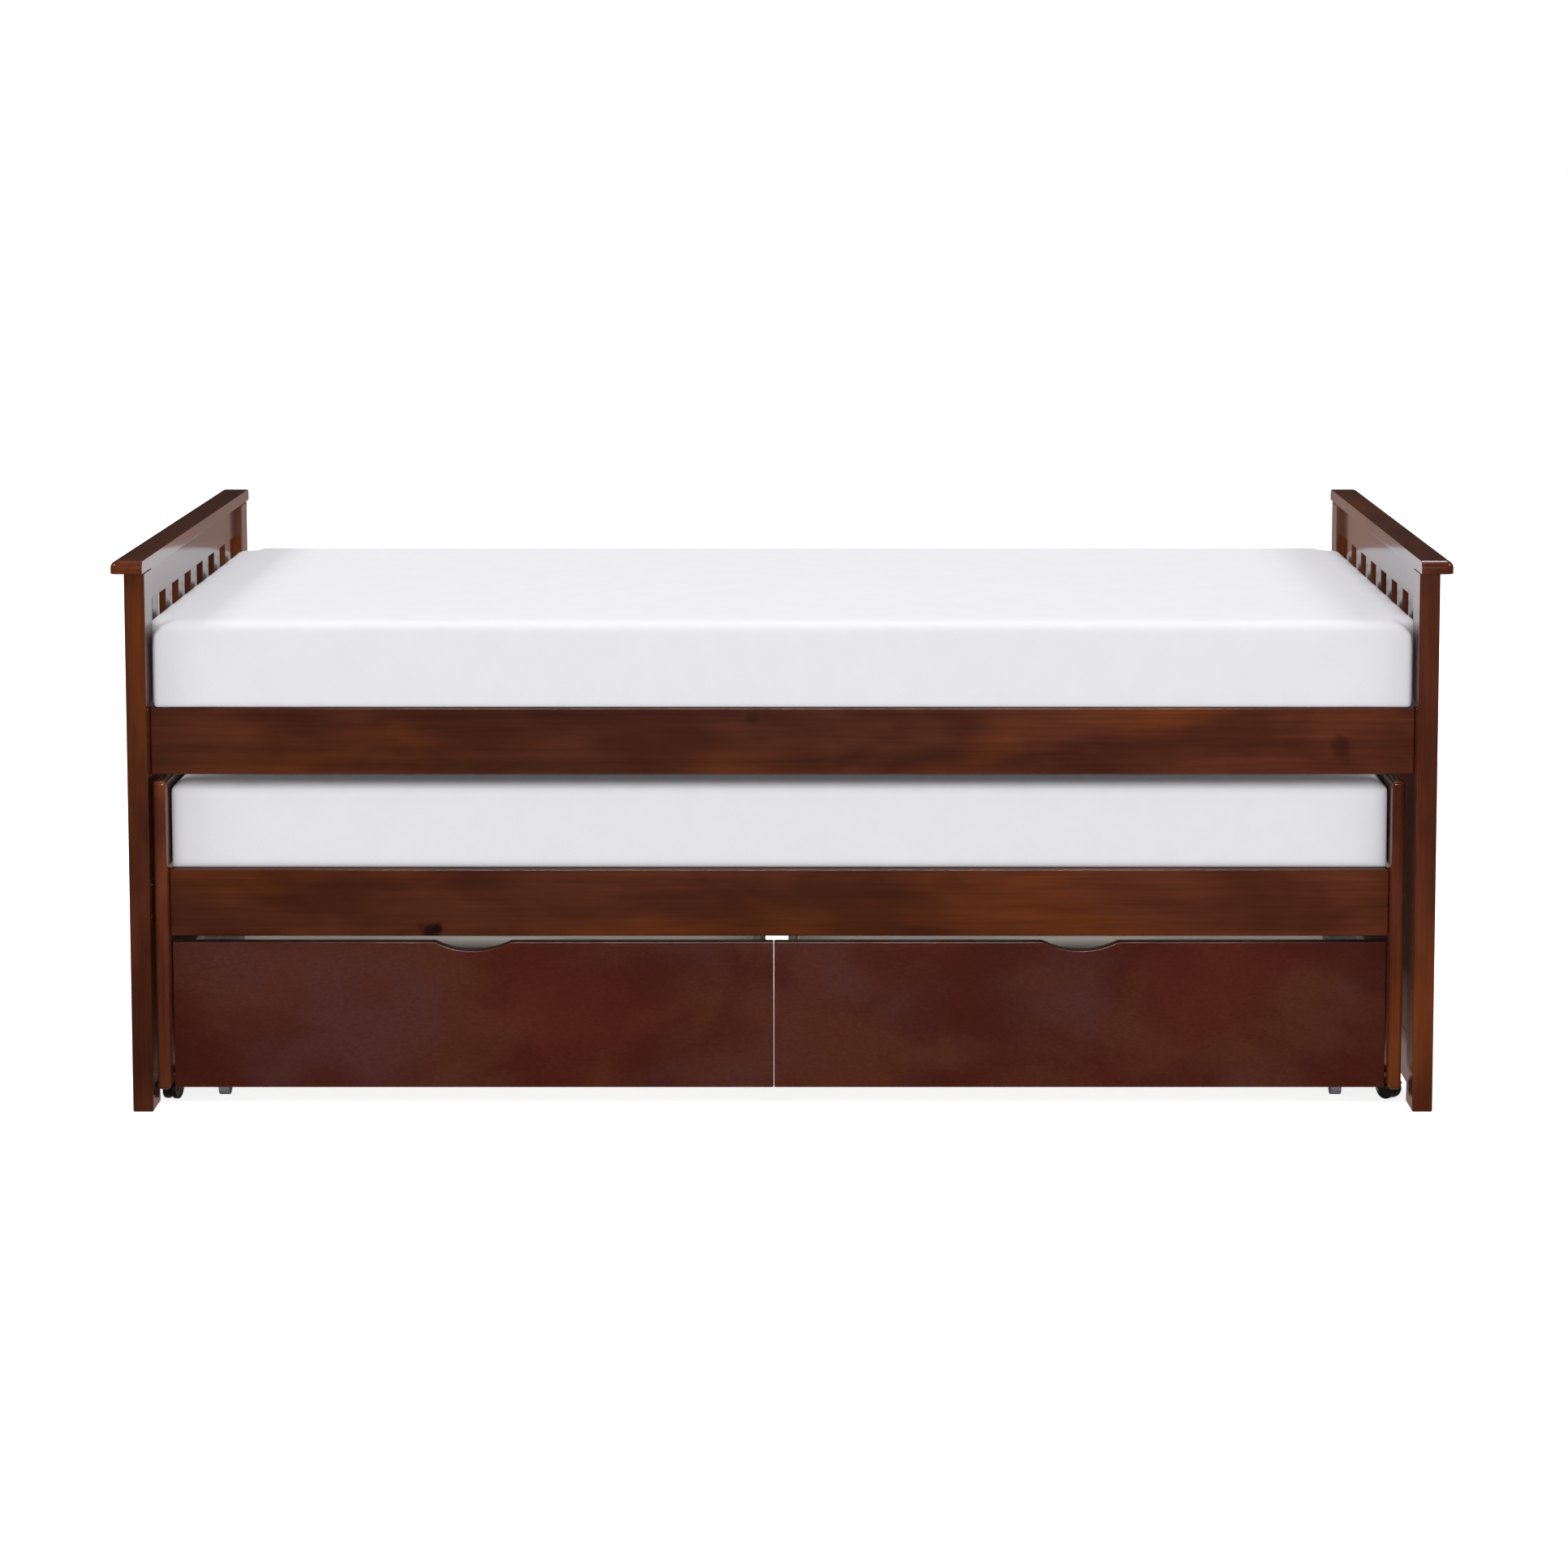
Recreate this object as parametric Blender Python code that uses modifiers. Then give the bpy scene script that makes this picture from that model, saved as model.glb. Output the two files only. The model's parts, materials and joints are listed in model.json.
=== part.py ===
"""Twin trundle bed with two drawers.

An upper bed on two slatted end frames stands over a lower bed that rolls out to the front on swivel
casters. Two drawers on fixed casters stand side by side inside the lower bed's end boards.

Metres, +Z up, origin on the floor under the middle. +X is the bed's length, -Y is its front.
Front and back are mirror images about Y = 0, and so are the upper bed's left and right about X = 0.
The lower bed is parked slightly left of the middle, between the end frames.
"""

import math

import bmesh
import bpy

# ---------------------------------------------------------------- driving dimensions

GAP = 0.0003                      # left between pieces that touch

# Upper bed
POST_OUTER_X = 0.989              # half the length over the posts
POST_THICKNESS = 0.031
POST_DEPTH = 0.065
BED_HALF_DEPTH = 0.510            # half the depth over the posts
CAP_UNDERSIDE = 0.827
CAP_THICKNESS = 0.020
CAP_WIDTH = 0.049
CAP_OVERHANG_X = 0.0175
CAP_OVERHANG_Y = 0.020
CAP_ROUNDING = 0.011
PANEL_RECESS = 0.010              # panel behind the post's inner face
PANEL_THICKNESS = 0.012
TOP_BOARD_BOTTOM = 0.772
BOTTOM_RAIL_Z = (0.012, 0.092)
SLAT_WIDTH = 0.058
SLAT_THICKNESS = 0.010
SLAT_COUNT = 7
RAIL_THICKNESS = 0.020
RAIL_RECESS = 0.030               # side rail behind the post's front face
RAIL_Z = (0.5152, 0.6176)
MATTRESS_LENGTH = 1.913           # as pressed in between the posts
MATTRESS_BULGE = 0.0088           # its ends past the posts' inner faces, up to the panels
MATTRESS_TOP = 0.750
MATTRESS_RECESS = 0.027           # mattress face behind the post's front face

# Lower bed
LOWER_CENTRE_X = -0.0053
LOWER_HALF_LENGTH = 0.9488
LOWER_FRONT = 0.017               # end board's edge behind the post's front face
END_BOARD_THICKNESS = 0.020
END_BOARD_Z = (0.0297, 0.507)
LOWER_RAIL_RECESS = 0.021         # lower rail behind the end board's edge
LOWER_RAIL_Z = (0.2641, 0.3679)
LOWER_MATTRESS_TOP = 0.5005
LOWER_MATTRESS_RECESS = 0.024
LOWER_MATTRESS_LENGTH = 1.8562

# Slatted bases, the same make in both beds
CLEAT_SIZE = (0.020, 0.020)       # depth, height
BED_SLAT_WIDTH = 0.065
BED_SLAT_THICKNESS = 0.012
BED_SLAT_COUNT = 13
BED_SLAT_DROP = 0.0015            # slat top below the rail's top
WEBBING_WIDTH = 0.025
WEBBING_THICKNESS = 0.0016

# Swivel casters of the lower bed
CASTER_INSET_X = 0.0146           # swivel axis in from the end board's outer face
CASTER_INSET_Y = 0.073            # swivel axis in from the end board's front edge
CASTER_TRAIL = 0.008
WHEEL_RADIUS = 0.017
WHEEL_WIDTH = 0.022
HOOD_RADIUS = 0.0190
NOTCH_LENGTH = 0.059              # cut in the end board's lower edge, over each caster
NOTCH_TOP = 0.0466

# Drawers
DRAWER_RECESS = 0.028             # drawer front behind the end board's edge
DRAWER_SEAM_X = -0.0140
DRAWER_Z = (0.0266, 0.2535)
DRAWER_FRONT_THICKNESS = 0.018
DRAWER_SIDE_THICKNESS = 0.012
DRAWER_SIDE_INSET = 0.0205        # box side in from the end of the front
DRAWER_SIDE_Z = (0.0465, 0.2385)
DRAWER_BOX_DEPTH = 0.490
DRAWER_BOTTOM_THICKNESS = 0.009
DRAWER_END_GAP = 0.0015
DRAWER_SEAM_GAP = 0.0010
SCOOP_WIDTH = 0.116
SCOOP_DEPTH = 0.014
DRAWER_WHEEL_RADIUS = 0.0195
DRAWER_WHEEL_WIDTH = 0.0166
DRAWER_WHEEL_INSET_X = 0.068      # wheel's middle in from the end of the drawer front
OUTER_WHEEL_Y = 0.107             # front wheels behind the post's front face
INNER_WHEEL_Y = 0.175
BACK_WHEEL_Y = 0.480

# ---------------------------------------------------------------- places worked out from them

FRONT = -BED_HALF_DEPTH
POST_INNER_X = POST_OUTER_X - POST_THICKNESS
LOWER_LEFT = LOWER_CENTRE_X - LOWER_HALF_LENGTH
LOWER_RIGHT = LOWER_CENTRE_X + LOWER_HALF_LENGTH
LOWER_INNER_LEFT = LOWER_LEFT + END_BOARD_THICKNESS
LOWER_INNER_RIGHT = LOWER_RIGHT - END_BOARD_THICKNESS
LOWER_HALF_DEPTH = BED_HALF_DEPTH - LOWER_FRONT
SIDES = (("left", -1), ("right", 1))
ENDS = (("front", -1), ("back", 1))

# ---------------------------------------------------------------- scene and materials

for old in list(bpy.data.objects):
    bpy.data.objects.remove(old, do_unlink=True)

bed = bpy.data.collections.new("trundle_bed")
cutters = bpy.data.collections.new("cutters")
bpy.context.scene.collection.children.link(bed)
bpy.context.scene.collection.children.link(cutters)


def material(name, colour, roughness, metallic=0.0):
    """A plain Principled material."""
    made = bpy.data.materials.new(name)
    made.use_nodes = True
    shader = made.node_tree.nodes["Principled BSDF"]
    shader.inputs["Base Color"].default_value = (*colour, 1.0)
    shader.inputs["Roughness"].default_value = roughness
    shader.inputs["Metallic"].default_value = metallic
    return made


CHERRY = material("cherry_lacquer", (0.13, 0.032, 0.012), 0.35)
DRAWER_CHERRY = material("drawer_cherry_lacquer", (0.080, 0.022, 0.018), 0.40)
PINE = material("bare_pine", (0.62, 0.42, 0.24), 0.65)
PLYWOOD = material("drawer_plywood", (0.66, 0.50, 0.32), 0.60)
FOAM = material("mattress_cover", (0.80, 0.80, 0.84), 0.90)
STEEL = material("zinc_steel", (0.60, 0.60, 0.61), 0.35, 1.0)
BLACK_NYLON = material("black_nylon", (0.012, 0.012, 0.013), 0.45)
GREY_RUBBER = material("grey_rubber", (0.27, 0.25, 0.25), 0.60)

# ---------------------------------------------------------------- modelling helpers


def file_under(obj, collection):
    """Move an object into one collection only."""
    for holder in list(obj.users_collection):
        holder.objects.unlink(obj)
    collection.objects.link(obj)


def make_piece(obj, name, finish):
    """Name a piece, give it its material and put it in the bed."""
    obj.name = name
    obj.data.name = name
    obj.data.materials.clear()
    obj.data.materials.append(finish)
    file_under(obj, bed)
    return obj


def make_guide(obj, name):
    """Turn a shape into a hidden helper for a Boolean."""
    obj.name = name
    obj.hide_render = True
    obj.display_type = "WIRE"
    file_under(obj, cutters)
    return obj


def block(low, high):
    """A box between two corners, its scale applied."""
    centre = [(a + b) / 2 for a, b in zip(low, high)]
    bpy.ops.mesh.primitive_cube_add(size=1, location=centre)
    obj = bpy.context.object
    obj.scale = [b - a for a, b in zip(low, high)]
    bpy.ops.object.transform_apply(location=False, rotation=False, scale=True)
    return obj


def rounding(obj, width, segments=1):
    """Round all of a piece's sharp edges."""
    bevel = obj.modifiers.new("rounding", "BEVEL")
    bevel.width = width
    bevel.segments = segments
    bevel.limit_method = "ANGLE"


def board(name, low, high, finish, edge=0.0015, segments=1):
    """A board between two corners, with eased edges."""
    obj = make_piece(block(low, high), name, finish)
    rounding(obj, edge, segments)
    return obj


def boolean(obj, guide, operation):
    """Cut a hidden helper out of a piece, or join it on."""
    step = obj.modifiers.new(guide.name, "BOOLEAN")
    step.operation = operation
    step.object = guide


def cylinder(centre, radius, length, axis="Z", sides=24):
    """A closed cylinder about its middle, lying along one of the row's axes."""
    turn = {"X": (0, math.pi / 2, 0), "Y": (math.pi / 2, 0, 0), "Z": (0, 0, 0)}[axis]
    bpy.ops.mesh.primitive_cylinder_add(vertices=sides, radius=radius, depth=length, location=centre,
                                        rotation=turn)
    obj = bpy.context.object
    bpy.ops.object.transform_apply(location=False, rotation=True, scale=False)
    return obj


def repeat(obj, count, offset):
    """Repeat a helper at a constant step, each copy a body of its own."""
    array = obj.modifiers.new("repeat", "ARRAY")
    array.count = count
    array.use_relative_offset = False
    array.use_constant_offset = True
    array.constant_offset_displace = offset
    array.use_merge_vertices = False


def smooth(obj):
    """Shade a round piece smooth, keeping its sharp edges."""
    obj.data.shade_smooth()
    obj.data.set_sharp_from_angle(angle=math.radians(40))


# ---------------------------------------------------------------- upper bed


def mirrored_x(side, inner, outer):
    """The lowest and highest X of a span given on the right-hand side."""
    return (inner, outer) if side > 0 else (-outer, -inner)


def mirrored_y(end, near, far):
    """The lowest and highest Y of a span given as depths behind the posts' front face."""
    if end < 0:
        return FRONT + near, FRONT + far
    return -FRONT - far, -FRONT - near


def end_frame(label, side):
    """Two posts, a rounded cap and a slatted panel."""
    x0, x1 = mirrored_x(side, POST_INNER_X, POST_OUTER_X)
    for end_label, end in ENDS:
        y0, y1 = mirrored_y(end, 0, POST_DEPTH)
        board(f"{label}_{end_label}_post", (x0, y0, 0), (x1, y1, CAP_UNDERSIDE - GAP), CHERRY, 0.002, 2)
    end_cap(label, side)
    slat_panel(label, side)


def end_cap(label, side):
    """The cap over the posts: all its upper edges but the inner one are rounded over."""
    outer = POST_OUTER_X + CAP_OVERHANG_X
    x0, x1 = mirrored_x(side, outer - CAP_WIDTH, outer)
    half_y = BED_HALF_DEPTH + CAP_OVERHANG_Y
    cap = block((x0, -half_y, CAP_UNDERSIDE), (x1, half_y, CAP_UNDERSIDE + CAP_THICKNESS))
    make_piece(cap, f"{label}_cap", CHERRY)
    shape = bmesh.new()
    shape.from_mesh(cap.data)
    top = CAP_THICKNESS / 2
    inner_x = -side * CAP_WIDTH / 2

    def rounded(edge):
        middle = (edge.verts[0].co + edge.verts[1].co) / 2
        upright = abs(middle.z) < top / 2
        on_inner = abs(middle.x - inner_x) < CAP_WIDTH / 4
        return not on_inner and (upright or middle.z > top / 2)

    bmesh.ops.bevel(shape, geom=[edge for edge in shape.edges if rounded(edge)], offset=CAP_ROUNDING,
                    offset_type="OFFSET", segments=5, profile=0.5, affect="EDGES", clamp_overlap=True)
    shape.to_mesh(cap.data)
    shape.free()
    smooth(cap)


def slat_panel(label, side):
    """Top board, bottom rail and upright slats, glued into one panel between the posts."""
    face = POST_INNER_X + PANEL_RECESS
    x0, x1 = mirrored_x(side, face, face + PANEL_THICKNESS)
    half_y = BED_HALF_DEPTH - POST_DEPTH - GAP
    panel = block((x0, -half_y, TOP_BOARD_BOTTOM), (x1, half_y, CAP_UNDERSIDE - GAP))
    make_piece(panel, f"{label}_slat_panel", CHERRY)

    opening = 2 * (BED_HALF_DEPTH - POST_DEPTH)
    space = (opening - SLAT_COUNT * SLAT_WIDTH) / (SLAT_COUNT + 1)
    inset = (PANEL_THICKNESS - SLAT_THICKNESS) / 2
    first = -opening / 2 + space
    tenon = 0.010
    slats = block((x0 + inset, first, BOTTOM_RAIL_Z[1] - tenon),
                  (x1 - inset, first + SLAT_WIDTH, TOP_BOARD_BOTTOM + tenon))
    repeat(slats, SLAT_COUNT, (0, SLAT_WIDTH + space, 0))
    boolean(panel, make_guide(slats, f"{label}_slats"), "UNION")
    rail = block((x0, -half_y, BOTTOM_RAIL_Z[0]), (x1, half_y, BOTTOM_RAIL_Z[1]))
    boolean(panel, make_guide(rail, f"{label}_bottom_rail"), "UNION")


def slatted_base(label, x_span, y_span, rail_top, finish):
    """Two ledger cleats inside the rails, and a roll of slats tied by two webbing tapes."""
    depth, height = CLEAT_SIZE
    slat_top = rail_top - BED_SLAT_DROP
    cleat_top = slat_top - BED_SLAT_THICKNESS - GAP
    x0, x1 = x_span
    y0, y1 = y_span
    cleat_inset = 0.030
    for end_label, low, high in (("front", y0 + GAP, y0 + depth), ("back", y1 - depth, y1 - GAP)):
        board(f"{label}_{end_label}_cleat", (x0 + cleat_inset, low, cleat_top - height),
              (x1 - cleat_inset, high, cleat_top), finish)

    margin = 0.035
    clearance = 0.001
    pitch = (x1 - x0 - 2 * margin - BED_SLAT_WIDTH) / (BED_SLAT_COUNT - 1)
    first = x0 + margin
    tape_low = slat_top - BED_SLAT_THICKNESS - WEBBING_THICKNESS / 2
    tapes = []
    for y in (y0 / 2, y1 / 2):
        tapes.append(block((first, y - WEBBING_WIDTH / 2, tape_low),
                           (x1 - margin, y + WEBBING_WIDTH / 2, tape_low + WEBBING_THICKNESS)))
    roll, second_tape = tapes
    make_piece(roll, f"{label}_slat_roll", PINE)
    slats = block((first, y0 + clearance, slat_top - BED_SLAT_THICKNESS),
                  (first + BED_SLAT_WIDTH, y1 - clearance, slat_top))
    repeat(slats, BED_SLAT_COUNT, (pitch, 0, 0))
    boolean(roll, make_guide(slats, f"{label}_slats"), "UNION")
    boolean(roll, make_guide(second_tape, f"{label}_second_tape"), "UNION")


def mattress(name, low, high, rounded_by=0.022):
    """A plain foam slab with rounded edges."""
    return board(name, low, high, FOAM, rounded_by, 3)


def upper_mattress():
    """The slab between the posts, whose ends swell between them until they meet the panels."""
    half_length = MATTRESS_LENGTH / 2
    half_width = BED_HALF_DEPTH - MATTRESS_RECESS
    bottom = RAIL_Z[1] + GAP
    slab = mattress("upper_mattress", (-half_length, -half_width, bottom),
                    (half_length, half_width, MATTRESS_TOP))
    reach_x = POST_INNER_X + MATTRESS_BULGE
    post_clearance, step = 0.002, 0.002
    reach_y = BED_HALF_DEPTH - POST_DEPTH - post_clearance
    swell = block((-reach_x, -reach_y, bottom + step), (reach_x, reach_y, MATTRESS_TOP - step))
    rounding(swell, 0.018, 3)
    boolean(slab, make_guide(swell, "mattress_swell"), "UNION")
    smooth(slab)


def upper_bed():
    """End frames, side rails, slatted base and mattress."""
    for label, side in SIDES:
        end_frame(label, side)
    for end_label, end in ENDS:
        y0, y1 = mirrored_y(end, RAIL_RECESS, RAIL_RECESS + RAIL_THICKNESS)
        board(f"upper_{end_label}_rail", (-POST_INNER_X + GAP, y0, RAIL_Z[0]),
              (POST_INNER_X - GAP, y1, RAIL_Z[1]), CHERRY, 0.002, 2)
    inner_y = BED_HALF_DEPTH - RAIL_RECESS - RAIL_THICKNESS
    slatted_base("upper", (-POST_INNER_X, POST_INNER_X), (-inner_y, inner_y), RAIL_Z[1], PINE)
    upper_mattress()


# ---------------------------------------------------------------- lower bed


def end_board(label, low_x, high_x):
    """A board from front to back, notched over its two casters."""
    half_y = LOWER_HALF_DEPTH
    piece = board(f"lower_{label}_end", (low_x, -half_y, END_BOARD_Z[0]),
                  (high_x, half_y, END_BOARD_Z[1]), CHERRY, 0.003, 2)
    past = 0.010
    for end_label, end in ENDS:
        middle = end * (half_y - CASTER_INSET_Y)
        notch = block((low_x - past, middle - NOTCH_LENGTH / 2, END_BOARD_Z[0] - past),
                      (high_x + past, middle + NOTCH_LENGTH / 2, NOTCH_TOP))
        boolean(piece, make_guide(notch, f"{label}_{end_label}_notch"), "DIFFERENCE")


def lower_bed():
    """End boards, rails, slatted base and mattress."""
    end_board("left", LOWER_LEFT, LOWER_INNER_LEFT)
    end_board("right", LOWER_INNER_RIGHT, LOWER_RIGHT)
    outer_y = LOWER_HALF_DEPTH - LOWER_RAIL_RECESS
    for end_label, end in ENDS:
        near, far = sorted((end * outer_y, end * (outer_y - RAIL_THICKNESS)))
        board(f"lower_{end_label}_rail", (LOWER_INNER_LEFT + GAP, near, LOWER_RAIL_Z[0]),
              (LOWER_INNER_RIGHT - GAP, far, LOWER_RAIL_Z[1]), CHERRY, 0.002, 2)
    inner_y = outer_y - RAIL_THICKNESS
    slatted_base("lower", (LOWER_INNER_LEFT, LOWER_INNER_RIGHT), (-inner_y, inner_y),
                 LOWER_RAIL_Z[1], PINE)
    half_width = LOWER_HALF_DEPTH - LOWER_MATTRESS_RECESS
    smooth(mattress("lower_mattress",
                    (LOWER_CENTRE_X - LOWER_MATTRESS_LENGTH / 2, -half_width, LOWER_RAIL_Z[1] + GAP),
                    (LOWER_CENTRE_X + LOWER_MATTRESS_LENGTH / 2, half_width, LOWER_MATTRESS_TOP),
                    rounded_by=0.014))


def swivel_caster(label, x, y, yaw):
    """A plate, a swivel head with its hood, and a twin wheel that trails behind the swivel.

    The head and the wheel hang on an empty on the swivel's axis: the trail runs towards the
    empty's -Y, and the axle lies along its X.
    """
    plate_half = (0.0135, 0.022)
    plate_z = (0.0436, 0.0462)
    pin_radius, pin_low = 0.0030, 0.0390
    plate = make_piece(block((x - plate_half[0], y - plate_half[1], plate_z[0]),
                             (x + plate_half[0], y + plate_half[1], plate_z[1])),
                       f"caster_plate_{label}", STEEL)
    pin = cylinder((x, y, (pin_low + plate_z[1]) / 2 - GAP), pin_radius, plate_z[1] - pin_low, sides=16)
    boolean(plate, make_guide(pin, f"pin_{label}"), "UNION")

    swivel = bpy.data.objects.new(f"swivel_{label}", None)
    swivel.location = (x, y, 0)
    swivel.rotation_euler = (0, 0, yaw)
    bed.objects.link(swivel)
    axle = (0, -CASTER_TRAIL, WHEEL_RADIUS + GAP)
    web = 0.0030                  # half the thickness of the web between the wheels
    slack = 0.0006                # wheel to hood
    head_z = (0.0345, 0.0430)
    boss_radius, bore_radius, pin_play = 0.0090, 0.0024, 0.0004

    def hung_guide(obj, name):
        obj.parent = swivel
        return make_guide(obj, f"{name}_{label}")

    head = cylinder((0, 0, sum(head_z) / 2), boss_radius, head_z[1] - head_z[0])
    make_piece(head, f"caster_head_{label}", BLACK_NYLON).parent = swivel
    hood = cylinder(axle, HOOD_RADIUS, WHEEL_WIDTH, "X", 32)
    hollow = cylinder(axle, WHEEL_RADIUS + slack, WHEEL_WIDTH * 2, "X", 32)
    hood_low, spine_low = 0.0240, 0.0080
    past = HOOD_RADIUS * 2        # the cutters run past the head on every side
    below_hood = block((-past, -past, -past), (past, past, hood_low))
    spine = cylinder(axle, WHEEL_RADIUS + slack * 2, web * 2, "X", 32)
    below_spine = block((-past, -past, -past), (past, past, spine_low))
    bore = cylinder(axle, bore_radius, past, "X", 16)
    socket_low, socket_high = pin_low - GAP * 2, head_z[1] + GAP * 2
    socket = cylinder((0, 0, (socket_low + socket_high) / 2), pin_radius + pin_play,
                      socket_high - socket_low, sides=16)
    boolean(hood, hung_guide(hollow, "hollow"), "DIFFERENCE")
    boolean(hood, hung_guide(below_hood, "below_hood"), "DIFFERENCE")
    boolean(head, hung_guide(hood, "hood"), "UNION")
    boolean(head, hung_guide(spine, "spine"), "UNION")
    boolean(head, hung_guide(below_spine, "below_spine"), "DIFFERENCE")
    boolean(head, hung_guide(bore, "bore"), "DIFFERENCE")
    boolean(head, hung_guide(socket, "socket"), "DIFFERENCE")

    axle_radius, axle_recess = 0.0020, 0.0005
    wheel = cylinder(axle, axle_radius, WHEEL_WIDTH - 2 * axle_recess, "X", 16)
    make_piece(wheel, f"caster_wheel_{label}", BLACK_NYLON).parent = swivel
    near, far = web + 0.0004, WHEEL_WIDTH / 2
    for disc_label, side in SIDES:
        disc = cylinder((side * (near + far) / 2, axle[1], axle[2]), WHEEL_RADIUS, far - near, "X", 32)
        rounding(disc, 0.0012)
        boolean(wheel, hung_guide(disc, f"{disc_label}_disc"), "UNION")


def swivel_casters():
    """One caster under each corner of the lower bed, each left pointing its own way."""
    yaws = {"front_left": -14, "front_right": 40, "back_left": 12, "back_right": 24}
    for end_label, end in ENDS:
        y = end * (LOWER_HALF_DEPTH - CASTER_INSET_Y)
        for label, side in SIDES:
            x = LOWER_CENTRE_X + side * (LOWER_HALF_LENGTH - CASTER_INSET_X)
            key = f"{end_label}_{label}"
            swivel_caster(key, x, y, math.radians(yaws[key]))


# ---------------------------------------------------------------- drawers


def drawer_front(label, x0, x1, y0):
    """A plain front with a hand scoop cut as an arc in its top edge."""
    front = board(f"drawer_{label}_front", (x0, y0, DRAWER_Z[0]),
                  (x1, y0 + DRAWER_FRONT_THICKNESS, DRAWER_Z[1]), DRAWER_CHERRY, 0.0018, 2)
    radius = ((SCOOP_WIDTH / 2) ** 2 + SCOOP_DEPTH ** 2) / (2 * SCOOP_DEPTH)
    centre = ((x0 + x1) / 2, y0 + DRAWER_FRONT_THICKNESS / 2, DRAWER_Z[1] - SCOOP_DEPTH + radius)
    scoop = cylinder(centre, radius, DRAWER_FRONT_THICKNESS * 3, "Y", 128)
    boolean(front, make_guide(scoop, f"scoop_{label}"), "DIFFERENCE")


def fixed_caster(label, x, y, top):
    """A bent bracket with a riveted axle, and a plain wheel between its cheeks."""
    half_plate = (0.020, 0.016)
    plate_thickness = 0.0025
    cheek = 0.0018
    side_play = 0.0007
    axle_z = DRAWER_WHEEL_RADIUS + GAP
    axle_radius, bore_radius = 0.0023, 0.0027
    plate_top = top - GAP
    plate = block((x - half_plate[0], y - half_plate[1], plate_top - plate_thickness),
                  (x + half_plate[0], y + half_plate[1], plate_top))
    bracket = make_piece(plate, f"drawer_bracket_{label}", STEEL)
    near = DRAWER_WHEEL_WIDTH / 2 + side_play
    cheek_half_y, cheek_below_axle, overlap = 0.008, 0.006, 0.001
    for side_label, side in SIDES:
        low, high = sorted((x + side * near, x + side * (near + cheek)))
        leg = block((low, y - cheek_half_y, axle_z - cheek_below_axle),
                    (high, y + cheek_half_y, plate_top - overlap))
        boolean(bracket, make_guide(leg, f"leg_{side_label}_{label}"), "UNION")
    axle = cylinder((x, y, axle_z), axle_radius, 2 * (near + cheek - GAP), "X", 16)
    boolean(bracket, make_guide(axle, f"axle_{label}"), "UNION")

    wheel = cylinder((x, y, axle_z), DRAWER_WHEEL_RADIUS, DRAWER_WHEEL_WIDTH, "X", 32)
    make_piece(wheel, f"drawer_wheel_{label}", GREY_RUBBER)
    rounding(wheel, 0.0015)
    bore = cylinder((x, y, axle_z), bore_radius, DRAWER_WHEEL_WIDTH * 2, "X", 16)
    boolean(wheel, make_guide(bore, f"wheel_bore_{label}"), "DIFFERENCE")
    smooth(wheel)


def drawer(label, side, x0, x1):
    """An open box on four wheels behind its front."""
    y0 = FRONT + LOWER_FRONT + DRAWER_RECESS
    drawer_front(label, x0, x1, y0)
    box_front = y0 + DRAWER_FRONT_THICKNESS + GAP
    box_back = box_front + DRAWER_BOX_DEPTH
    outer = (x0 + DRAWER_SIDE_INSET, x1 - DRAWER_SIDE_INSET)
    inner = (outer[0] + DRAWER_SIDE_THICKNESS, outer[1] - DRAWER_SIDE_THICKNESS)
    z0, z1 = DRAWER_SIDE_Z
    for side_label, low, high in (("left_side", outer[0], inner[0]), ("right_side", inner[1], outer[1])):
        board(f"drawer_{label}_{side_label}", (low, box_front, z0), (high, box_back, z1), PLYWOOD)
    board(f"drawer_{label}_back", (inner[0] + GAP, box_back - DRAWER_SIDE_THICKNESS, z0),
          (inner[1] - GAP, box_back, z1), PLYWOOD)
    board(f"drawer_{label}_bottom", (inner[0] + GAP, box_front, z0),
          (inner[1] - GAP, box_back - DRAWER_SIDE_THICKNESS - GAP, z0 + DRAWER_BOTTOM_THICKNESS),
          PLYWOOD, 0.0008)
    front_depths = (OUTER_WHEEL_Y, INNER_WHEEL_Y)
    front_left_y, front_right_y = front_depths if side < 0 else reversed(front_depths)
    left_x, right_x = x0 + DRAWER_WHEEL_INSET_X, x1 - DRAWER_WHEEL_INSET_X
    corners = (("front_left", left_x, front_left_y), ("front_right", right_x, front_right_y),
               ("back_left", left_x, BACK_WHEEL_Y), ("back_right", right_x, BACK_WHEEL_Y))
    for corner, x, depth in corners:
        fixed_caster(f"{label}_{corner}", x, FRONT + depth, z0)


def drawers():
    """Two drawers that meet at the seam and fill the space between the end boards."""
    drawer("left", -1, LOWER_INNER_LEFT + DRAWER_END_GAP, DRAWER_SEAM_X - DRAWER_SEAM_GAP / 2)
    drawer("right", 1, DRAWER_SEAM_X + DRAWER_SEAM_GAP / 2, LOWER_INNER_RIGHT - DRAWER_END_GAP)


upper_bed()
lower_bed()
swivel_casters()
drawers()
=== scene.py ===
import json
import math

import bmesh
import bpy
from mathutils import Matrix, Vector


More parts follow.
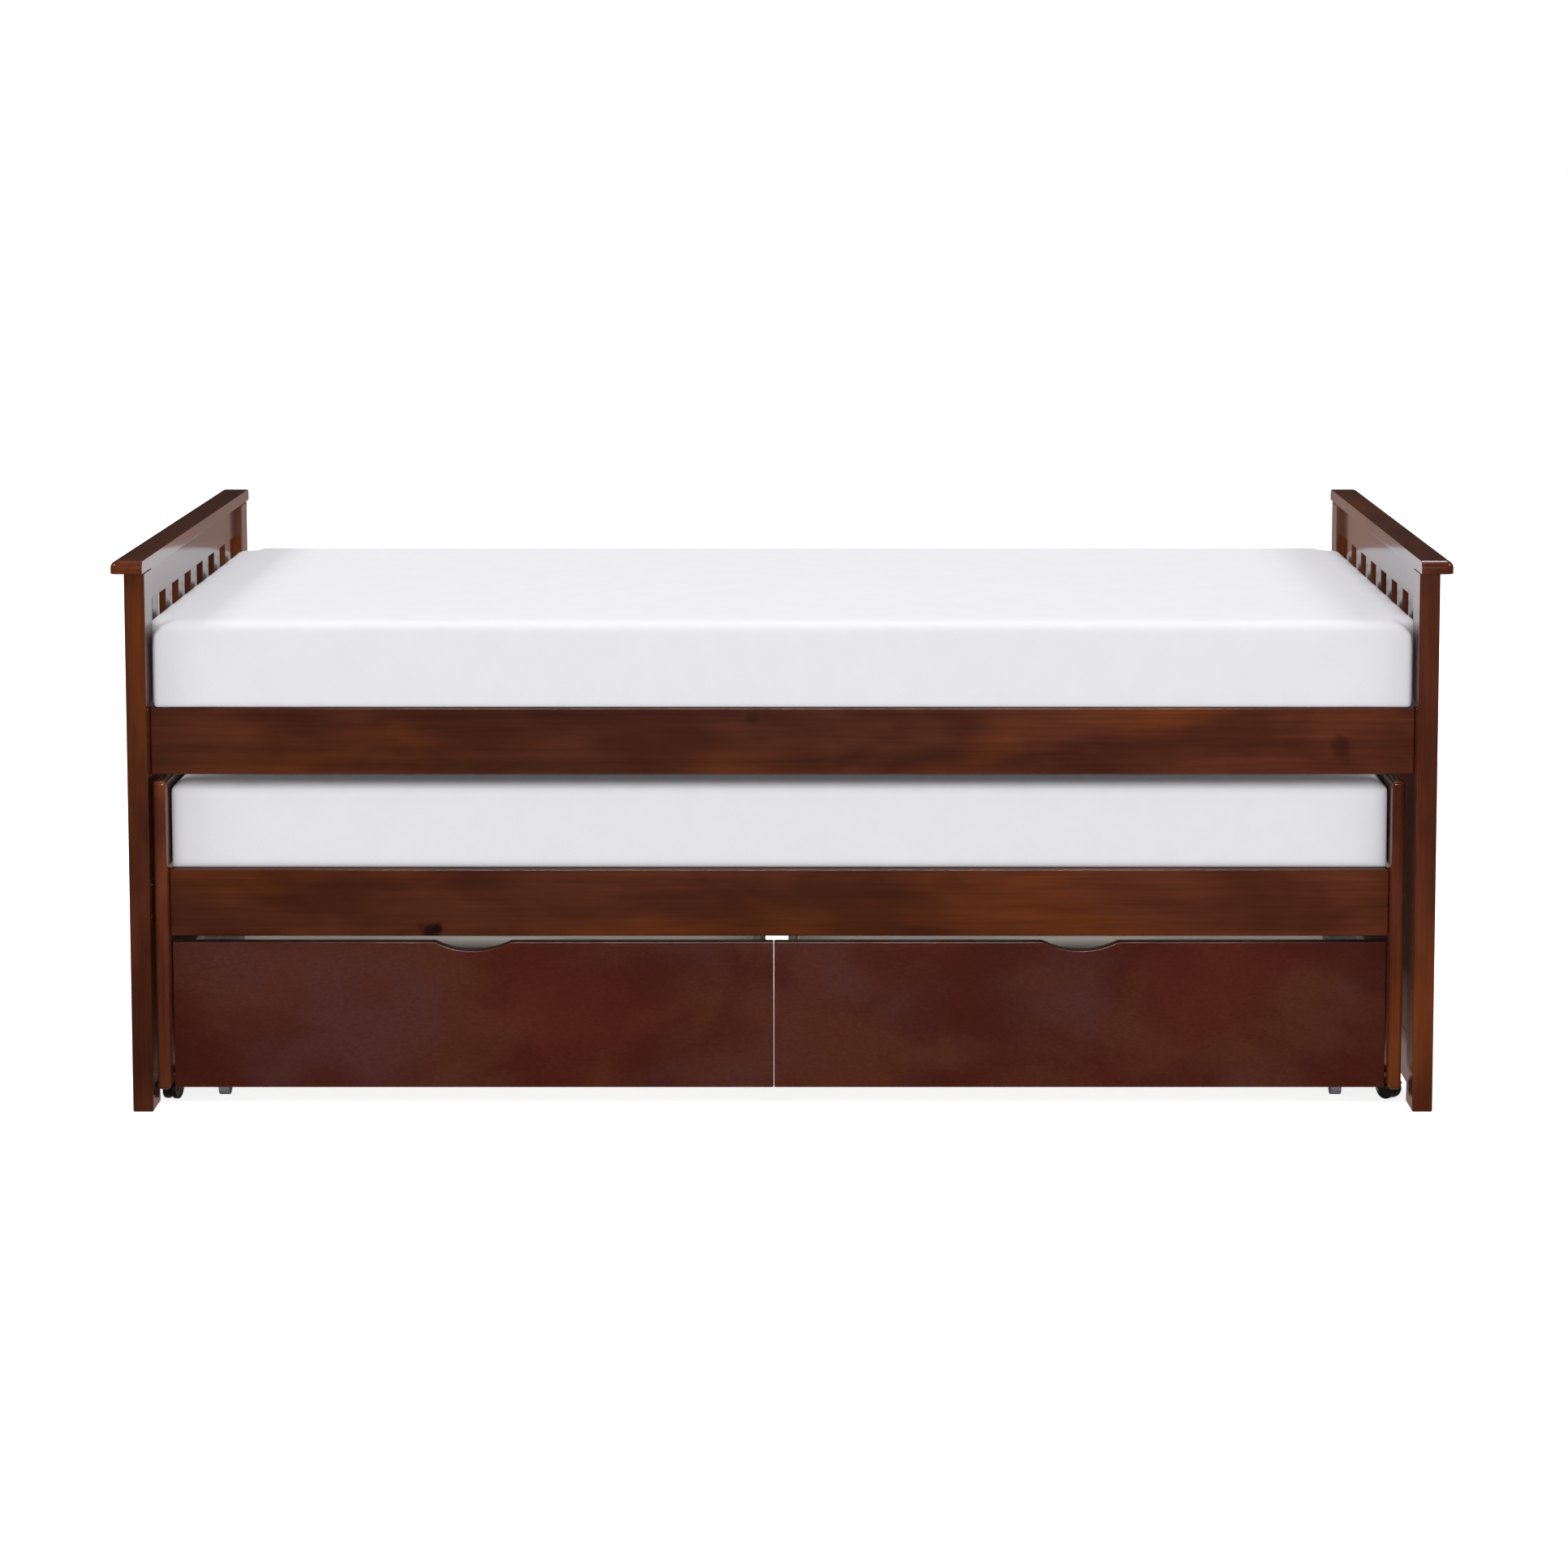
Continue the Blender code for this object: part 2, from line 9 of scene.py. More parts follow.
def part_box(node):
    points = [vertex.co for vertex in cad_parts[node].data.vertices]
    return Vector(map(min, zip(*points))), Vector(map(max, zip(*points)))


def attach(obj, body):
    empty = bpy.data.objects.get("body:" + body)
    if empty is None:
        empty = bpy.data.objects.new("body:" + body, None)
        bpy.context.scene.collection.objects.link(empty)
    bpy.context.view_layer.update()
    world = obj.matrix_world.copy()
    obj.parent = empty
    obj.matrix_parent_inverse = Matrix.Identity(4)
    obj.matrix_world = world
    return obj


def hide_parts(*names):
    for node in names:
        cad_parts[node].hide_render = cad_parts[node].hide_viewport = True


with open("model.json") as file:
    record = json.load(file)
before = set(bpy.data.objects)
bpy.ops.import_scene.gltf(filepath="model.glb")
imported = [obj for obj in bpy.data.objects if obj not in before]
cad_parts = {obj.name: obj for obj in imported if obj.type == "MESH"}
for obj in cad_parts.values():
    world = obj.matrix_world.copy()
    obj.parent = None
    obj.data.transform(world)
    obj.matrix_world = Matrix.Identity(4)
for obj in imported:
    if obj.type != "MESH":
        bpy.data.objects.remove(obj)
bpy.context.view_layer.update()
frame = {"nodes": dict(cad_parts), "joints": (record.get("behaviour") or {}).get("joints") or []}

# ---------------------------------------------------------------- posts
# Four pine posts, sawn and planed square, their long edges eased with a router and the whole
# stained cherry under a satin lacquer. Each stands on its own end grain on the floor.


def srgb(code):
    """An sRGB hex colour as the linear RGBA that a shader takes."""
    channels = [int(code[i:i + 2], 16) / 255 for i in (1, 3, 5)]
    linear = [c / 12.92 if c <= 0.04045 else ((c + 0.055) / 1.055) ** 2.4 for c in channels]
    return (*linear, 1.0)


def node(tree, kind, values=None, links=None, **settings):
    """Adds a node: settings are its options, values fill its sockets and links feed them."""
    made = tree.nodes.new("ShaderNode" + kind)
    for name, value in settings.items():
        setattr(made, name, value)
    for socket, value in (values or {}).items():
        made.inputs[socket].default_value = value
    for socket, source in (links or {}).items():
        tree.links.new(source, made.inputs[socket])
    return made


def finish(name, **constants):
    """A new material's node tree, its shader with these constants, and its Object coordinates."""
    material = bpy.data.materials.new(name)
    material.use_nodes = True
    tree = material.node_tree
    shader = tree.nodes["Principled BSDF"]
    for socket, value in constants.items():
        shader.inputs[socket.replace("_", " ")].default_value = value
    place = node(tree, "TexCoord").outputs["Object"]
    return material, tree, shader, place


GRAIN_STRETCH = 0.03          # a pore is some thirty times as long as it is wide
DRIFT = 1.38                  # the stain is drawn lighter towards the right end, by up to this factor


def along(grain, stretch):
    """Mapping scale that draws a pattern out along the grain's axis."""
    return [stretch if axis == grain else 1.0 for axis in "XYZ"]


def stained_pine(name, grain, dark, middle, warm, knots=()):
    """Cherry stain on planed pine under sprayed satin lacquer.

    The stain sits unevenly, in soft clouds a hand wide; pores show as faint darker lines along
    the grain; the lacquer is nearly smooth, so glancing light mirrors in it.
    """
    material, tree, shader, place = finish(
        name, Roughness=0.25, IOR=1.45, Specular_IOR_Level=0.08,
        Coat_Weight=1.0, Coat_Roughness=0.13, Coat_IOR=1.5)
    cloud_size, blotch_size, figure_width, pore_width = 0.110, 0.170, 0.018, 0.0042
    slow = node(tree, "Mapping", {"Scale": along(grain, 0.5)}, {"Vector": place}).outputs[0]
    moved = node(tree, "Mapping", {"Scale": along(grain, 0.35), "Location": (3.1, 1.7, 5.3)},
                 {"Vector": place}).outputs[0]
    drawn = node(tree, "Mapping", {"Scale": along(grain, GRAIN_STRETCH)}, {"Vector": place}).outputs[0]

    clouds = node(tree, "TexNoise", {"Scale": 1 / cloud_size, "Detail": 3.0, "Distortion": 0.5},
                  {"Vector": slow}).outputs[0]
    clouds = node(tree, "MapRange", {"From Min": 0.36, "From Max": 0.64}, {"Value": clouds},
                  interpolation_type="SMOOTHSTEP").outputs[0]
    blotches = node(tree, "TexNoise", {"Scale": 1 / blotch_size, "Detail": 4.0, "Distortion": 0.3},
                    {"Vector": moved}).outputs[0]
    blotches = node(tree, "MapRange", {"From Min": 0.47, "From Max": 0.72, "To Max": 0.75},
                    {"Value": blotches}, interpolation_type="SMOOTHSTEP").outputs[0]
    figure = node(tree, "TexNoise", {"Scale": 1 / figure_width, "Detail": 2.0, "Distortion": 0.2},
                  {"Vector": drawn}).outputs[0]
    pores = node(tree, "TexNoise", {"Scale": 1 / pore_width, "Detail": 3.0, "Roughness": 0.6},
                 {"Vector": drawn}).outputs[0]

    colour = node(tree, "Mix", {6: srgb(dark), 7: srgb(middle)}, {0: clouds}, data_type="RGBA").outputs[2]
    colour = node(tree, "Mix", {7: srgb(warm)}, {0: blotches, 6: colour}, data_type="RGBA").outputs[2]
    shade = node(tree, "MapRange", {"From Min": 0.30, "From Max": 0.70, "To Min": 0.84, "To Max": 1.14},
                 {"Value": figure}).outputs[0]
    colour = node(tree, "VectorMath", {}, {0: colour, 1: shade}, operation="MULTIPLY").outputs[0]
    shade = node(tree, "MapRange", {"From Min": 0.25, "From Max": 0.60, "To Min": 0.80, "To Max": 1.04},
                 {"Value": pores}).outputs[0]
    colour = node(tree, "VectorMath", {}, {0: colour, 1: shade}, operation="MULTIPLY").outputs[0]
    # lighter towards the right end (+X), by up to DRIFT
    across = node(tree, "SeparateXYZ", {}, {0: place}).outputs["X"]
    shade = node(tree, "MapRange", {"From Min": 0.1, "From Max": 0.9, "To Min": 1.0, "To Max": DRIFT},
                 {"Value": across}, interpolation_type="SMOOTHSTEP").outputs[0]
    colour = node(tree, "VectorMath", {}, {0: colour, 1: shade}, operation="MULTIPLY").outputs[0]
    for spot, radius, strength in knots:
        ring = node(tree, "VectorMath", {1: spot}, {0: place}, operation="DISTANCE").outputs["Value"]
        wander = node(tree, "TexNoise", {"Scale": 0.9 / radius, "Detail": 3.0}, {"Vector": place}).outputs[0]
        ring = node(tree, "Math", {2: 0.0}, {0: wander, 1: ring}, operation="MULTIPLY").outputs[0]
        shade = node(tree, "MapRange", {"From Min": radius * 0.16, "From Max": radius * 0.62,
                                        "To Min": 1 - strength, "To Max": 1.0},
                     {"Value": ring}, interpolation_type="SMOOTHSTEP").outputs[0]
        colour = node(tree, "VectorMath", {}, {0: colour, 1: shade}, operation="MULTIPLY").outputs[0]
    tree.links.new(colour, shader.inputs["Base Color"])

    relief = node(tree, "Bump", {"Strength": 0.12, "Distance": 0.0004}, {"Height": pores}).outputs[0]
    tree.links.new(relief, shader.inputs["Normal"])
    return material


def only(piece):
    """Makes a piece the one selected object."""
    bpy.ops.object.select_all(action="DESELECT")
    piece.select_set(True)
    bpy.context.view_layer.objects.active = piece


def added(name):
    """Names the primitive just added and puts its place and size into its mesh."""
    piece = bpy.context.object
    piece.name = piece.data.name = name
    only(piece)
    bpy.ops.object.transform_apply(location=True, rotation=True, scale=True)
    return piece


def cuboid(name, low, high):
    """A sawn blank between two corners."""
    low, high = Vector(low), Vector(high)
    bpy.ops.object.select_all(action="DESELECT")
    bpy.ops.mesh.primitive_cube_add(size=1, location=(low + high) / 2)
    bpy.context.object.scale = high - low
    return added(name)


def middle(element):
    """The middle of an edge or a face."""
    return sum((corner.co for corner in element.verts), Vector()) / len(element.verts)


def pick(piece, kind, wanted):
    """In edit mode, selects the edges or faces that pass the test."""
    bpy.ops.mesh.select_mode(type=kind)
    bpy.ops.mesh.select_all(action="DESELECT")
    shape = bmesh.from_edit_mesh(piece.data)
    for element in (shape.edges if kind == "EDGE" else shape.faces):
        element.select_set(wanted(element))
    bmesh.update_edit_mesh(piece.data)


def ease(piece, radius, wanted=lambda edge: True, steps=3):
    """Rounds over the edges that pass the test, as a router does."""
    only(piece)
    bpy.ops.object.mode_set(mode="EDIT")
    pick(piece, "EDGE", wanted)
    bpy.ops.mesh.bevel(offset=radius, segments=steps, affect="EDGES", clamp_overlap=True)
    bpy.ops.object.mode_set(mode="OBJECT")
    return piece


def use(piece, kind, **settings):
    """Adds a modifier with its settings and applies it."""
    only(piece)
    modifier = piece.modifiers.new(kind.lower(), kind)
    for name, value in settings.items():
        setattr(modifier, name, value)
    bpy.ops.object.modifier_apply(modifier=modifier.name)
    return piece


def sand(piece, angle=35):
    """Smooth shading across rounded edges, with the flats left flat."""
    only(piece)
    bpy.ops.object.shade_smooth_by_angle(angle=math.radians(angle))
    return use(piece, "WEIGHTED_NORMAL", keep_sharp=True)


def dress(piece, material, body, slot, *nodes):
    """Gives a piece its finish and its place on the bed, and the CAD nodes that it stands for."""
    piece.data.materials.clear()
    piece.data.materials.append(material)
    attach(piece, body)
    if nodes:
        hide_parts(*nodes)
    return piece


def carry(label, material):
    """Keeps a CAD node as it stands: gives it its finish, and breaks its sharp edges."""
    carried = frame["nodes"][label]
    carried.data.materials.clear()
    carried.data.materials.append(material)
    weld = carried.modifiers.new("weld", "WELD")
    weld.merge_threshold = 0.00002
    edges = carried.modifiers.new("edges", "BEVEL")
    edges.width, edges.segments = 0.0004, 2
    edges.limit_method, edges.angle_limit = "ANGLE", math.radians(30)


SIDES = (("left", -1), ("right", 1))
ENDS = (("front", -1), ("back", 1))
ROUTED_EDGE = 0.0022          # radius of an eased edge on posts and rails
CHERRY = ("#3E1A0D", "#4E2515", "#66310F")     # dark, middle and warm tones of the stain
cherry_upright = stained_pine("cherry_stained_pine_upright_grain", "Z", *CHERRY)
cherry_lengthways = stained_pine("cherry_stained_pine_long_grain", "X", *CHERRY)
cherry_crossways = stained_pine("cherry_stained_pine_cross_grain", "Y", *CHERRY)

for side_name, _ in SIDES:
    for end_name, _ in ENDS:
        label = f"{side_name}_{end_name}_post"
        post = cuboid(f"{label}_lacquered", *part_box(label))
        dress(sand(ease(post, ROUTED_EDGE)), cherry_upright, "upper_bed", "cherry_lacquer", label)

# ---------------------------------------------------------------- connector bolts
# Steel connector bolts draw the side rails to the posts and to the lower end boards, two at
# each joint. Zinc-plated flat heads with a hexagon socket show on the outer faces.


def zinc_plated(name, tone, roughness):
    """Steel with bright zinc plating: a cool grey metal whose crystals vary in gloss."""
    material, tree, shader, place = finish(name, Metallic=1.0)
    crystal_size = 0.004
    crystals = node(tree, "TexVoronoi", {"Scale": 1 / crystal_size}, {"Vector": place}).outputs["Color"]
    crystals = node(tree, "SeparateColor", {}, {0: crystals}).outputs[0]
    colour = node(tree, "Mix", {6: srgb(tone), 7: srgb("#8E9094")}, {0: crystals}, data_type="RGBA")
    tree.links.new(colour.outputs[2], shader.inputs["Base Color"])
    gloss = node(tree, "MapRange", {"To Min": roughness, "To Max": roughness + 0.12}, {"Value": crystals})
    tree.links.new(gloss.outputs[0], shader.inputs["Roughness"])
    return material


BOLT_RADIUS, BOLT_PROUD, SOCKET_RADIUS = 0.0065, 0.0009, 0.0026
RIM_WIDTH, RIM_RISE, SOCKET_DEPTH = 0.0008, 0.0003, 0.0011
BOLT_SPREAD = 0.2451          # how far a bolt sits from the rail's middle, of the rail's height
bright_zinc = zinc_plated("zinc_plated_bolt", "#B9BBBE", 0.24)


def bolt_heads(name, face_x, side, rail, body):
    """The heads at both ends of one rail's joint, on the face at face_x that looks outwards."""
    low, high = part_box(rail)
    y, z_middle = (low.y + high.y) / 2, (low.z + high.z) / 2
    spread = (high.z - low.z) * BOLT_SPREAD
    heads = []
    for z in (z_middle - spread, z_middle + spread):
        bpy.ops.object.select_all(action="DESELECT")
        bpy.ops.mesh.primitive_cylinder_add(
            vertices=24, radius=BOLT_RADIUS, depth=BOLT_PROUD * 2, location=(face_x, y, z),
            rotation=(0, math.pi / 2, 0))
        head = added("head")
        bpy.ops.object.mode_set(mode="EDIT")
        pick(head, "FACE", lambda face: face.normal.x * side > 0.9)
        bpy.ops.mesh.inset(thickness=RIM_WIDTH)
        bpy.ops.transform.translate(value=(side * RIM_RISE, 0, 0))
        bpy.ops.mesh.inset(thickness=BOLT_RADIUS - SOCKET_RADIUS - RIM_WIDTH)
        bpy.ops.mesh.extrude_region_move(TRANSFORM_OT_translate={"value": (-side * SOCKET_DEPTH, 0, 0)})
        bpy.ops.object.mode_set(mode="OBJECT")
        heads.append(head)
    heads[0].select_set(True)
    bpy.ops.object.join()
    pair = added(name)
    dress(sand(pair, 25), bright_zinc, body, "zinc_steel")


for side_name, side in SIDES:
    for end_name, _ in ENDS:
        post_low, post_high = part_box(f"{side_name}_{end_name}_post")
        outer = post_high.x if side > 0 else post_low.x
        bolt_heads(f"{side_name}_{end_name}_post_bolts", outer, side, f"upper_{end_name}_rail", "upper_bed")
    end_low, end_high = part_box(f"lower_{side_name}_end")
    outer = end_high.x if side > 0 else end_low.x
    for end_name, _ in ENDS:
        bolt_heads(f"lower_{side_name}_{end_name}_bolts", outer, side, f"lower_{end_name}_rail", "lower_bed")

# ---------------------------------------------------------------- end caps
# A moulded cap over each end frame, dowelled and glued onto the posts: its upper outer edge and
# both ends are rounded over with a large router bit, and its inner edge is only eased.

CAP_ROUNDING, CAP_EDGE = 0.011, 0.0011
SHARP = math.radians(50)

for side_name, side in SIDES:
    label = f"{side_name}_cap"
    low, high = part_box(label)
    inner_x = low.x if side > 0 else high.x
    cap = cuboid(f"{label}_moulding", low, high)
    ease(cap, CAP_ROUNDING, steps=8, wanted=lambda edge: (
        abs(middle(edge).x - inner_x) > 0.010 and middle(edge).z > low.z + 0.005))
    ease(cap, CAP_EDGE, steps=2, wanted=lambda edge: (
        len(edge.link_faces) == 2 and edge.calc_face_angle(0) > SHARP))
    dress(sand(cap), cherry_crossways, "upper_bed", "cherry_lacquer", label)

# ---------------------------------------------------------------- slatted end panels
# A top board and a bottom rail with seven thin uprights let into them, glued up as one panel
# between the posts of each end frame.

PANEL_SLATS = 7
TENON = 0.004                 # how far an upright runs into the boards above and below
SETBACK = 0.0006              # how far its faces lie behind theirs
BOARD_EDGE, UPRIGHT_EDGE = 0.0018, 0.0010
TOP_BOARD_Z, BOTTOM_RAIL_TOP, UPRIGHT_WIDTH = 0.772, 0.092, 0.058

for side_name, side in SIDES:
    label = f"{side_name}_slat_panel"
    low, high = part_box(label)
    board_top = cuboid(f"{side_name}_top_board", (low.x, low.y, TOP_BOARD_Z), high)
    dress(sand(ease(board_top, BOARD_EDGE)), cherry_crossways, "upper_bed", "cherry_lacquer", label)
    board_low = cuboid(f"{side_name}_bottom_board", low, (high.x, high.y, BOTTOM_RAIL_TOP))
    dress(sand(ease(board_low, BOARD_EDGE)), cherry_crossways, "upper_bed", "cherry_lacquer")
    space = (high.y - low.y - PANEL_SLATS * UPRIGHT_WIDTH) / (PANEL_SLATS + 1)
    for i in range(PANEL_SLATS):
        y = low.y + space + i * (UPRIGHT_WIDTH + space)
        upright = cuboid(f"{side_name}_upright_{i + 1}", (low.x + SETBACK, y, BOTTOM_RAIL_TOP - TENON),
                         (high.x - SETBACK, y + UPRIGHT_WIDTH, TOP_BOARD_Z + TENON))
        dress(sand(ease(upright, UPRIGHT_EDGE, steps=2)), cherry_upright, "upper_bed", "cherry_lacquer")

# ---------------------------------------------------------------- side rails
# Planed pine rails that join the ends. The front ones show a knot or two through the stain.

RAIL_KNOTS = {
    "upper_front_rail": (((0.846, -0.480, 0.557), 0.020, 0.45), ((-0.045, -0.480, 0.600), 0.010, 0.35)),
    "lower_front_rail": (((-0.537, -0.472, 0.272), 0.017, 0.80), ((-0.525, -0.472, 0.276), 0.010, 0.70)),
}
for bed_name in ("upper", "lower"):
    for end_name, _ in ENDS:
        label = f"{bed_name}_{end_name}_rail"
        knots = RAIL_KNOTS.get(label)
        wood = cherry_lengthways if knots is None else stained_pine(
            f"cherry_stained_pine_{label}", "X", *CHERRY, knots=knots)
        rail = cuboid(f"{label}_lacquered", *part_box(label))
        dress(sand(ease(rail, ROUTED_EDGE)), wood, f"{bed_name}_bed", "cherry_lacquer", label)

# ---------------------------------------------------------------- cleats and bed slats
# A pine ledger is screwed inside each rail. Thirteen planed pine slats lie across the ledgers,
# stapled to two woven tapes that keep them at their spacing.


def bare_pine(name, grain):
    """Planed, unfinished pine: pale straw wood with tan lines of late growth, quite matt."""
    material, tree, shader, place = finish(name, Roughness=0.62, IOR=1.45, Specular_IOR_Level=0.4)
    ring_width, fibre_width = 0.009, 0.0025
    drawn = node(tree, "Mapping", {"Scale": along(grain, 0.02)}, {"Vector": place}).outputs[0]
    rings = node(tree, "TexNoise", {"Scale": 1 / ring_width, "Detail": 2.0, "Distortion": 0.35},
                 {"Vector": drawn}).outputs[0]
    late = node(tree, "MapRange", {"From Min": 0.50, "From Max": 0.66}, {"Value": rings},
                interpolation_type="SMOOTHSTEP").outputs[0]
    fibres = node(tree, "TexNoise", {"Scale": 1 / fibre_width, "Detail": 2.0}, {"Vector": drawn}).outputs[0]
    colour = node(tree, "Mix", {6: srgb("#DDBF92"), 7: srgb("#BE9460")}, {0: late},
                  data_type="RGBA").outputs[2]
    shade = node(tree, "MapRange", {"To Min": 0.88, "To Max": 1.08}, {"Value": fibres}).outputs[0]
    colour = node(tree, "VectorMath", {}, {0: colour, 1: shade}, operation="MULTIPLY").outputs[0]
    tree.links.new(colour, shader.inputs["Base Color"])
    relief = node(tree, "Bump", {"Strength": 0.25, "Distance": 0.0004}, {"Height": fibres}).outputs[0]
    tree.links.new(relief, shader.inputs["Normal"])
    return material


def woven_tape(name):
    """Plain-woven polyester tape, white: fine raised cross ribs a millimetre and a half apart."""
    material, tree, shader, place = finish(name, Roughness=0.85, IOR=1.46, Sheen_Weight=0.2)
    rib = 0.0015
    ribs = node(tree, "TexWave", {"Scale": 0.05 / rib, "Distortion": 0.4}, {"Vector": place},
                bands_direction="X").outputs[0]
    threads = node(tree, "TexWave", {"Scale": 0.05 / rib}, {"Vector": place}, bands_direction="Y").outputs[0]
    weave = node(tree, "Math", {}, {0: ribs, 1: threads}, operation="MULTIPLY").outputs[0]
    colour = node(tree, "Mix", {6: srgb("#C9C6BD"), 7: srgb("#E6E3DA")}, {0: weave}, data_type="RGBA")
    tree.links.new(colour.outputs[2], shader.inputs["Base Color"])
    relief = node(tree, "Bump", {"Strength": 0.4, "Distance": 0.0004}, {"Height": weave}).outputs[0]
    tree.links.new(relief, shader.inputs["Normal"])
    return material


BED_SLATS, SLAT_WIDTH, SLAT_THICKNESS = 13, 0.065, 0.012
TAPE_WIDTH, TAPE_THICKNESS = 0.025, 0.0016
TAPE_PRESSED = 0.25           # how much of its thickness the staples press into a slat
CLEAT_EDGE, SLAT_EDGE, TAPE_EDGE = 0.0016, 0.0025, 0.0005
pine_across = bare_pine("planed_pine_across", "Y")
pine_lengthways = bare_pine("planed_pine_lengthways", "X")
tape_weave = woven_tape("woven_polyester_tape")

for bed_name in ("upper", "lower"):
    body = f"{bed_name}_bed"
    for end_name, _ in ENDS:
        label = f"{bed_name}_{end_name}_cleat"
        cleat = cuboid(f"{label}_planed", *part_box(label))
        dress(sand(ease(cleat, CLEAT_EDGE)), pine_lengthways, body, "bare_pine", label)
    roll = f"{bed_name}_slat_roll"
    low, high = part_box(roll)
    pitch = (high.x - low.x - SLAT_WIDTH) / (BED_SLATS - 1)
    for i in range(BED_SLATS):
        x = low.x + i * pitch
        slat = cuboid(f"{bed_name}_bed_slat_{i + 1}", (x, low.y, high.z - SLAT_THICKNESS),
                      (x + SLAT_WIDTH, high.y, high.z))
        dress(sand(ease(slat, SLAT_EDGE)), pine_across, body, "bare_pine", *([roll] if i == 0 else []))
    for tape_name, y in (("front", low.y / 2), ("back", high.y / 2)):
        tape_top = high.z - SLAT_THICKNESS + TAPE_THICKNESS * TAPE_PRESSED
        tape = cuboid(f"{bed_name}_{tape_name}_tape", (low.x, y - TAPE_WIDTH / 2, tape_top - TAPE_THICKNESS),
                      (high.x, y + TAPE_WIDTH / 2, tape_top))
        dress(sand(ease(tape, TAPE_EDGE, steps=2)), tape_weave, body, "bare_pine")

# ---------------------------------------------------------------- mattresses
# Foam cores in a stretch-knit polyester cover with no piping, so the block has soft round edges,
# a nearly flat top and faces that swell by a few millimetres. They lie loose on the slats.


def knit_cover(name):
    """Fine white jersey knit over foam: matt, faintly cool, with a soft fuzz at glancing angles."""
    material, tree, shader, place = finish(name, Roughness=0.92, IOR=1.4, Specular_IOR_Level=0.25,
                                           Sheen_Weight=0.08, Sheen_Roughness=0.5)
    wale, pucker = 0.0032, 0.045      # wales drawn twice as coarse as the real 1.5 mm, to show
    loops = node(tree, "TexVoronoi", {"Scale": 1 / wale}, {"Vector": place}, feature="SMOOTH_F1").outputs[0]
    wander = node(tree, "TexNoise", {"Scale": 1 / pucker, "Detail": 3.0}, {"Vector": place}).outputs[0]
    colour = node(tree, "Mix", {6: srgb("#DBDBE0"), 7: srgb("#E1E0E5")}, {0: wander}, data_type="RGBA")
    tree.links.new(colour.outputs[2], shader.inputs["Base Color"])
    knit = node(tree, "Bump", {"Strength": 0.18, "Distance": 0.0005}, {"Height": loops}).outputs[0]
    soft = node(tree, "Bump", {"Strength": 0.10, "Distance": 0.002}, {"Height": wander, "Normal": knit})
    tree.links.new(soft.outputs[0], shader.inputs["Normal"])
    return material


SLACK = 0.0015                # how much smaller the block is than its cover, all round
SWELL = 0.0040                # how far the cover may stand off the block
SWELL_FOOT = 0.012            # the swollen ends stop short of the block's foot
VOXEL = 0.010
SINK = 0.005      # the remeshed foot is cut off flat at the slats again
LONG_ROUNDING = {"upper": 0.016, "lower": 0.004}      # along the top edges at front and back
END_ROUNDING = {"upper": 0.034, "lower": 0.012}       # and at both ends
SWELL_ROUNDING = 0.003        # and where the cover presses against an end panel
POST_PLAY, PANEL_PLAY = 0.0015, 0.0005
PRESSURE, CLOTH_FRAMES = 4.0, 20
cover = knit_cover("jersey_knit_mattress_cover")
post_low, post_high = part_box("right_front_post")
between_posts = post_low.x - POST_PLAY
panel_y = -post_high.y        # how far the space between two posts reaches to the back

for bed_name in ("upper", "lower"):
    label = f"{bed_name}_mattress"
    low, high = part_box(label)
    block_low = Vector((max(low.x, -between_posts), low.y, low.z))
    block_high = Vector((min(high.x, between_posts), high.y, high.z))
    slack = SLACK
    pad = cuboid(f"{label}_covered", (block_low.x + slack, low.y + slack, low.z - SINK),
                 (block_high.x - slack, high.y - slack, high.z - slack))
    for rounding, span in ((END_ROUNDING, "y"), (LONG_ROUNDING, "x")):
        other = "x" if span == "y" else "y"
        ease(pad, rounding[bed_name], steps=6, wanted=lambda edge: (
            middle(edge).z > high.z - slack - 0.001
            and abs(getattr(middle(edge), other)) > abs(getattr(middle(edge), span))))
    if high.x > block_high.x:
        swelling = cuboid("swelling", (low.x + PANEL_PLAY, -panel_y, low.z + SWELL_FOOT),
                          (high.x - PANEL_PLAY, panel_y, high.z - slack))
        ease(swelling, SWELL_ROUNDING, steps=5)
        use(pad, "BOOLEAN", object=swelling, operation="UNION", solver="EXACT")
        bpy.data.objects.remove(swelling)
    use(pad, "REMESH", mode="VOXEL", voxel_size=VOXEL)
    rest = [vertex.co.copy() for vertex in pad.data.vertices]
    only(pad)
    cloth = pad.modifiers.new("cloth", "CLOTH")
    cloth.settings.use_pressure = True
    cloth.settings.uniform_pressure_force = PRESSURE
    cloth.settings.quality = 4
    cloth.settings.effector_weights.gravity = 0.0
    for step in range(1, CLOTH_FRAMES + 1):
        bpy.context.scene.frame_set(step)
    bpy.ops.object.modifier_apply(modifier=cloth.name)
    bpy.context.scene.frame_set(1)
    for vertex, start in zip(pad.data.vertices, rest):
        step = vertex.co - start
        if step.length > SWELL:
            step *= SWELL / step.length
        spot = start + step
        for i in (0, 1):          # the cover may stand off the foam but not press into it
            spot[i] = max(spot[i], start[i], key=abs)
        near, far = (low, high) if abs(spot.y) < panel_y else (block_low, block_high)
        vertex.co = [max(near[i], min(far[i], spot[i])) for i in range(3)]
    use(pad, "SUBSURF", levels=1, render_levels=1)
    only(pad)
    bpy.ops.object.shade_smooth()
    dress(pad, cover, f"{bed_name}_bed", "mattress_cover", label)

# ---------------------------------------------------------------- lower end boards
# One solid board at each end of the lower bed, from front to back, its edges well rounded and
# its lower edge notched over the two casters.

NOTCH_LENGTH, NOTCH_TOP, CASTER_INSET = 0.059, 0.0466, 0.073
END_EDGE, PAST = 0.0060, 0.01     # edge radius, and how far a cutter runs past the board
# A lighter stain, used only on the left lower end board: painted light, lightening a board that its post
# shades.
cherry_end_painted_light = stained_pine("cherry_stained_pine_end_board_painted_light", "Z", "#532615", "#6A3620", "#86471D")

